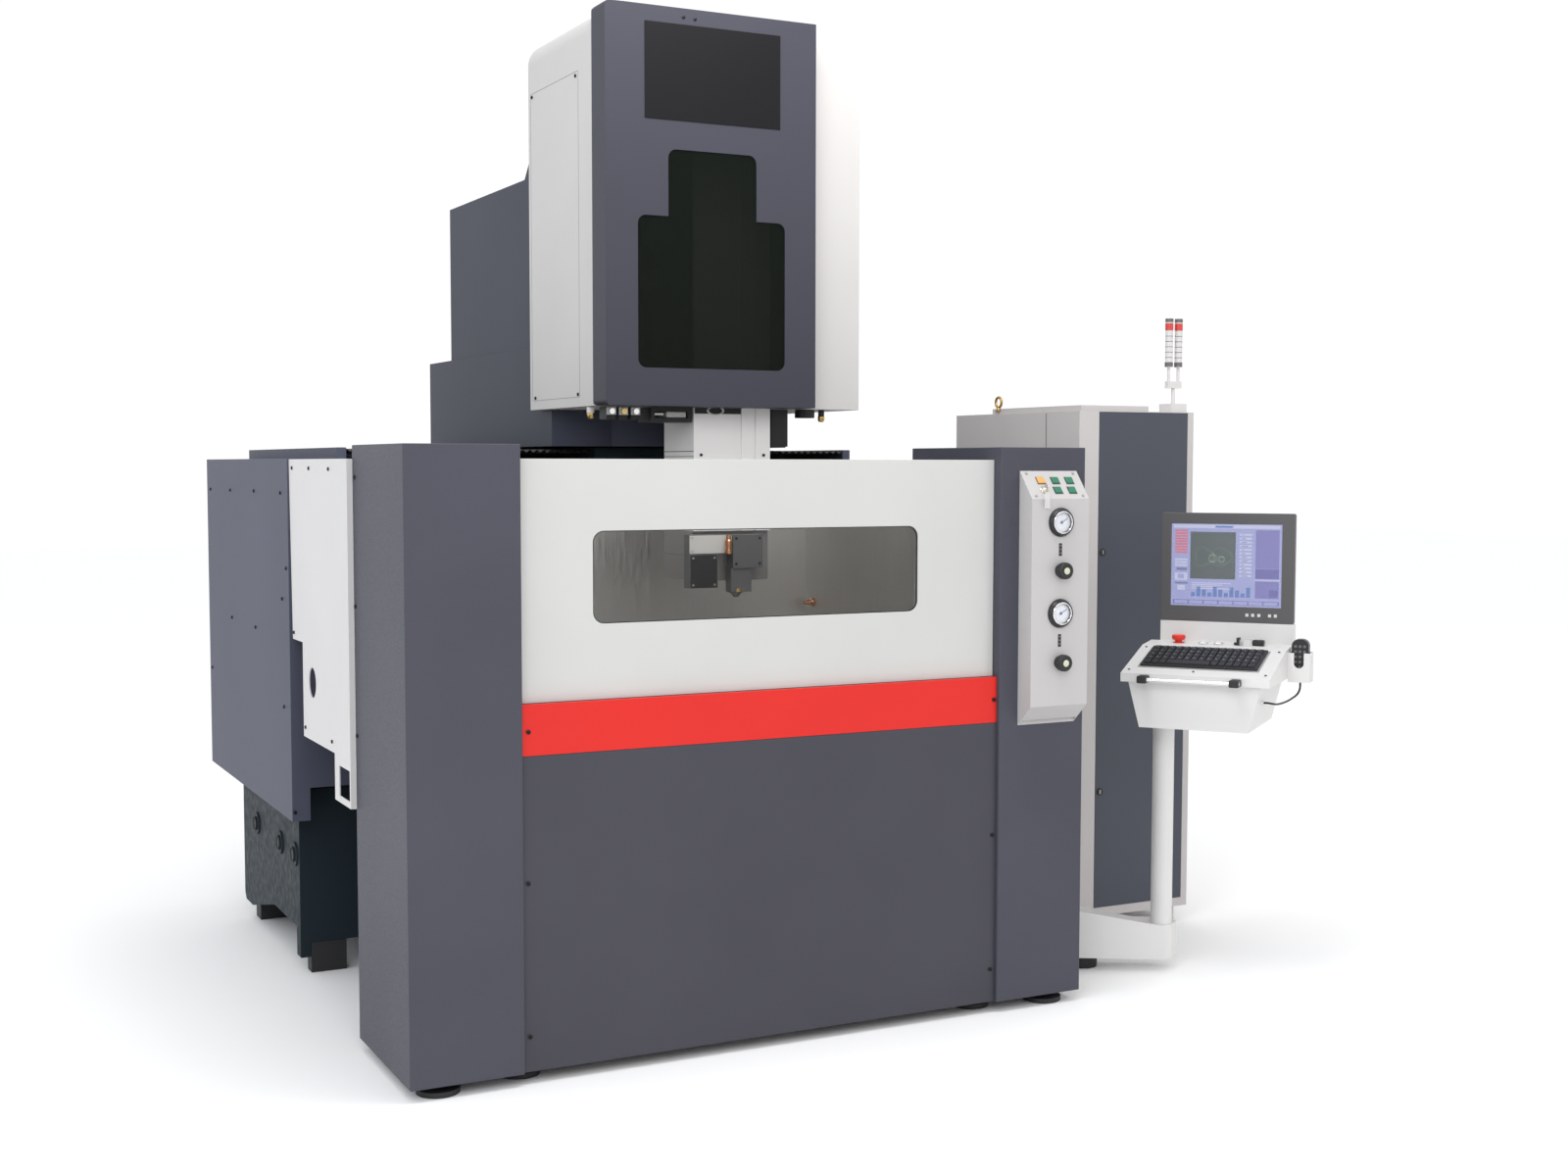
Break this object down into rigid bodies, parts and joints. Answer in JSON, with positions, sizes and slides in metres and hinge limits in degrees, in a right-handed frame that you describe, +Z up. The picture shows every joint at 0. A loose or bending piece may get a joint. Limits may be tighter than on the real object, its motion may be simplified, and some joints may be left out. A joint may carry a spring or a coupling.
{
  "type": "wire edm machine",
  "caption": "Wire-cut EDM machine with moving column, tall wire head, drop-down tank door, flushing box, control cabinet and swivelling console with monitor and keyboard.",
  "frame": {"origin": "middle of the footprint's bounding box, on the floor", "axes": "+X to the right along the front, +Y to the back, +Z up"},
  "size_m": [2.776, 2.5312, 2.718],
  "materials": {
    "blue_casting": "painted casting, satin",
    "black_rubber": "matt rubber and black steel",
    "textured_grey": "finely textured powder coat",
    "panel_grey": "smooth semi-matt paint",
    "red_paint": "smooth paint",
    "white_paint": "light grey-white powder coat",
    "cover_blue_grey": "semi-matt paint",
    "stainless": "brushed stainless sheet",
    "ground_steel": "ground steel",
    "cabinet_grey": "light grey powder coat",
    "lamp_white": "moulded plastic",
    "console_white": "off-white powder coat",
    "black_duct": "black cable duct",
    "box_grey": "light grey powder coat",
    "gauge_black": "black and chrome gauge case",
    "bellows_fabric": "black coated fabric",
    "head_white": "light powder coat",
    "black_anodised": "black anodised plate",
    "black_plastic": "moulded black plastic",
    "tinted_pane": "smoked acrylic",
    "bright_plate": "bright ground plate",
    "stage_steel": "ground steel blocks",
    "guide_grey": "anodised and black parts",
    "brass_wire": "brass wire on a spool",
    "pulley_grey": "anodised pulley",
    "door_white": "light grey-white paint",
    "clear_pane": "clear glass pane",
    "lock_steel": "plated lock and key",
    "orange_lens": "lit lens",
    "green_lens": "dark green lens",
    "needle_blue": "painted needle",
    "bezel_grey": "moulded bezel",
    "key_black": "black keys",
    "bright_bar": "polished bar, black ends",
    "red_cap": "red mushroom cap",
    "white_cap": "white cap",
    "black_cable": "black cable sheath",
    "cabinet_door_grey": "semi-matt paint"
  },
  "bodies": {
    "root": {"base_casting": "blue_casting", "levelling_feet": "black_rubber", "left_pillar": "textured_grey", "right_pillar": "textured_grey", "front_panel": "panel_grey", "stripe_panel": "red_paint", "side_panels": "white_paint", "end_covers": "cover_blue_grey", "rear_cover": "cover_blue_grey", "work_tank": "stainless", "work_table": "ground_steel", "x_guideway": "ground_steel", "control_cabinet": "cabinet_grey", "signal_lamp": "lamp_white", "console_stand": "console_white", "cable_duct": "black_duct", "flushing_box": "box_grey", "pressure_gauges": "gauge_black", "way_bellows": "bellows_fabric"},
    "x_saddle": {"saddle": "blue_casting"},
    "x_screw": {"x_screw": "ground_steel"},
    "y_screw": {"y_screw": "ground_steel"},
    "y_column": {"column": "blue_casting", "column_cover": "cover_blue_grey", "head_cabinet": "head_white", "wire_panel": "black_anodised", "head_fittings": "black_plastic", "lower_arm": "stainless"},
    "head_door": {"head_door": "panel_grey", "head_window": "tinted_pane"},
    "quill": {"quill": "bright_plate"},
    "v_stage": {"v_stage": "stage_steel"},
    "u_stage": {"u_stage": "stage_steel", "upper_guide": "guide_grey"},
    "wire_spool": {"wire_spool": "brass_wire"},
    "guide_pulley": {"guide_pulley": "pulley_grey"},
    "tension_pulley": {"tension_pulley": "pulley_grey"},
    "tank_door": {"tank_door": "door_white", "door_window": "clear_pane"},
    "flushing_knob_upper": {"flushing_knob_upper": "black_plastic"},
    "flushing_knob_lower": {"flushing_knob_lower": "black_plastic"},
    "key_switch": {"key_switch": "lock_steel"},
    "orange_button": {"orange_button": "orange_lens"},
    "green_button_1": {"green_button_1": "green_lens"},
    "green_button_2": {"green_button_2": "green_lens"},
    "green_button_3": {"green_button_3": "green_lens"},
    "green_button_4": {"green_button_4": "green_lens"},
    "gauge_needle_upper": {"gauge_needle_upper": "needle_blue"},
    "gauge_needle_lower": {"gauge_needle_lower": "needle_blue"},
    "console": {"console_housing": "console_white", "monitor": "bezel_grey", "keyboard": "key_black", "handle_bar": "bright_bar", "handset_cable": "black_cable"},
    "emergency_stop": {"emergency_stop": "red_cap"},
    "start_button": {"start_button": "white_cap"},
    "stop_button": {"stop_button": "white_cap"},
    "selector_knob": {"selector_knob": "black_plastic"},
    "handset": {"handset": "black_plastic"},
    "cabinet_door": {"cabinet_door": "cabinet_door_grey"}
  },
  "joints": [
    {"name": "x_axis", "type": "slide", "parent": "root", "child": "x_saddle", "axis": [1, 0, 0], "range_m": [-0.65, 0.3], "deforming": ["way_bellows"]},
    {"name": "y_axis", "type": "slide", "parent": "x_saddle", "child": "y_column", "axis": [0, 1, 0], "range_m": [-0.465, 0.185]},
    {"name": "z_axis", "type": "slide", "parent": "y_column", "child": "quill", "axis": [0, 0, 1], "range_m": [-0.18, 0.22]},
    {"name": "v_axis", "type": "slide", "parent": "quill", "child": "v_stage", "axis": [0, 1, 0], "range_m": [-0.03, 0.03]},
    {"name": "u_axis", "type": "slide", "parent": "v_stage", "child": "u_stage", "axis": [1, 0, 0], "range_m": [-0.03, 0.03]},
    {"name": "tank_door_drop", "type": "slide", "parent": "root", "child": "tank_door", "axis": [0, 0, 1], "range_m": [-0.575, 0]},
    {"name": "x_screw_turn", "type": "hinge", "parent": "root", "child": "x_screw", "pos_m": [-1.368, 0.58006, 0.632], "axis": [1, 0, 0], "range_deg": [-37300, 17300]},
    {"name": "y_screw_turn", "type": "hinge", "parent": "x_saddle", "child": "y_screw", "pos_m": [-0.23, -1.06544, 0.771], "axis": [0, 1, 0], "range_deg": [-26700, 10700]},
    {"name": "head_door_hinge", "type": "hinge", "parent": "y_column", "child": "head_door", "pos_m": [-0.654, -0.41744, 2.18], "axis": [0, 0, -1], "range_deg": [0, 105]},
    {"name": "cabinet_door_hinge", "type": "hinge", "parent": "root", "child": "cabinet_door", "pos_m": [1.364, -0.46544, 0.83], "axis": [0, 0, 1], "range_deg": [0, 110]},
    {"name": "console_swivel", "type": "hinge", "parent": "root", "child": "console", "pos_m": [0.934, -0.90544, 0.735], "axis": [0, 0, 1], "range_deg": [-90, 90]},
    {"name": "spool_spin", "type": "hinge", "parent": "y_column", "child": "wire_spool", "pos_m": [-0.518, -0.41544, 2.51], "axis": [0, 1, 0], "continuous": true},
    {"name": "guide_pulley_spin", "type": "hinge", "parent": "y_column", "child": "guide_pulley", "pos_m": [-0.463, -0.41544, 2.121], "axis": [0, 1, 0], "continuous": true},
    {"name": "tension_pulley_spin", "type": "hinge", "parent": "y_column", "child": "tension_pulley", "pos_m": [-0.488, -0.41544, 1.99], "axis": [0, 1, 0], "continuous": true},
    {"name": "flushing_knob_upper_turn", "type": "hinge", "parent": "root", "child": "flushing_knob_upper", "pos_m": [0.403, -1.12544, 1.201], "axis": [0, -1, 0], "range_deg": [-540, 540]},
    {"name": "flushing_knob_lower_turn", "type": "hinge", "parent": "root", "child": "flushing_knob_lower", "pos_m": [0.403, -1.12544, 0.954], "axis": [0, -1, 0], "range_deg": [-540, 540]},
    {"name": "gauge_needle_upper_swing", "type": "hinge", "parent": "root", "child": "gauge_needle_upper", "pos_m": [0.403, -1.13044, 1.33], "axis": [0, -1, 0], "range_deg": [-110, 160]},
    {"name": "gauge_needle_lower_swing", "type": "hinge", "parent": "root", "child": "gauge_needle_lower", "pos_m": [0.403, -1.13044, 1.086], "axis": [0, -1, 0], "range_deg": [-110, 160]},
    {"name": "key_turn", "type": "hinge", "parent": "root", "child": "key_switch", "pos_m": [0.361, -1.107, 1.41573], "axis": [0, -0.7768, 0.6298], "range_deg": [0, 90]},
    {"name": "orange_button_press", "type": "slide", "parent": "root", "child": "orange_button", "axis": [0, 0.7768, -0.6298], "range_m": [0, 0.003], "stiffness_N_per_m": 300},
    {"name": "green_button_1_press", "type": "slide", "parent": "root", "child": "green_button_1", "axis": [0, 0.7768, -0.6298], "range_m": [0, 0.003], "stiffness_N_per_m": 300},
    {"name": "green_button_2_press", "type": "slide", "parent": "root", "child": "green_button_2", "axis": [0, 0.7768, -0.6298], "range_m": [0, 0.003], "stiffness_N_per_m": 300},
    {"name": "green_button_3_press", "type": "slide", "parent": "root", "child": "green_button_3", "axis": [0, 0.7768, -0.6298], "range_m": [0, 0.003], "stiffness_N_per_m": 300},
    {"name": "green_button_4_press", "type": "slide", "parent": "root", "child": "green_button_4", "axis": [0, 0.7768, -0.6298], "range_m": [0, 0.003], "stiffness_N_per_m": 300},
    {"name": "emergency_stop_press", "type": "slide", "parent": "console", "child": "emergency_stop", "axis": [0, 0, -1], "range_m": [0, 0.004]},
    {"name": "start_button_press", "type": "slide", "parent": "console", "child": "start_button", "axis": [0, 0, -1], "range_m": [0, 0.003], "stiffness_N_per_m": 400},
    {"name": "stop_button_press", "type": "slide", "parent": "console", "child": "stop_button", "axis": [0, 0, -1], "range_m": [0, 0.003], "stiffness_N_per_m": 400},
    {"name": "selector_turn", "type": "hinge", "parent": "console", "child": "selector_knob", "pos_m": [1.17152, -0.94956, 0.955], "axis": [0, 0, 1], "range_deg": [-45, 45]},
    {"name": "handset_lift", "type": "slide", "parent": "console", "child": "handset", "axis": [0, 0, 1], "range_m": [0, 0.1], "deforming": ["handset_cable"]}
  ],
  "couplings": [
    {"joint": "x_screw_turn", "follows": "x_axis", "rad_per_m": 628.32},
    {"joint": "y_screw_turn", "follows": "y_axis", "rad_per_m": 628.32},
    {"joint": "guide_pulley_spin", "follows": "spool_spin", "ratio": 1.7719},
    {"joint": "tension_pulley_spin", "follows": "spool_spin", "ratio": 2.4806}
  ]
}
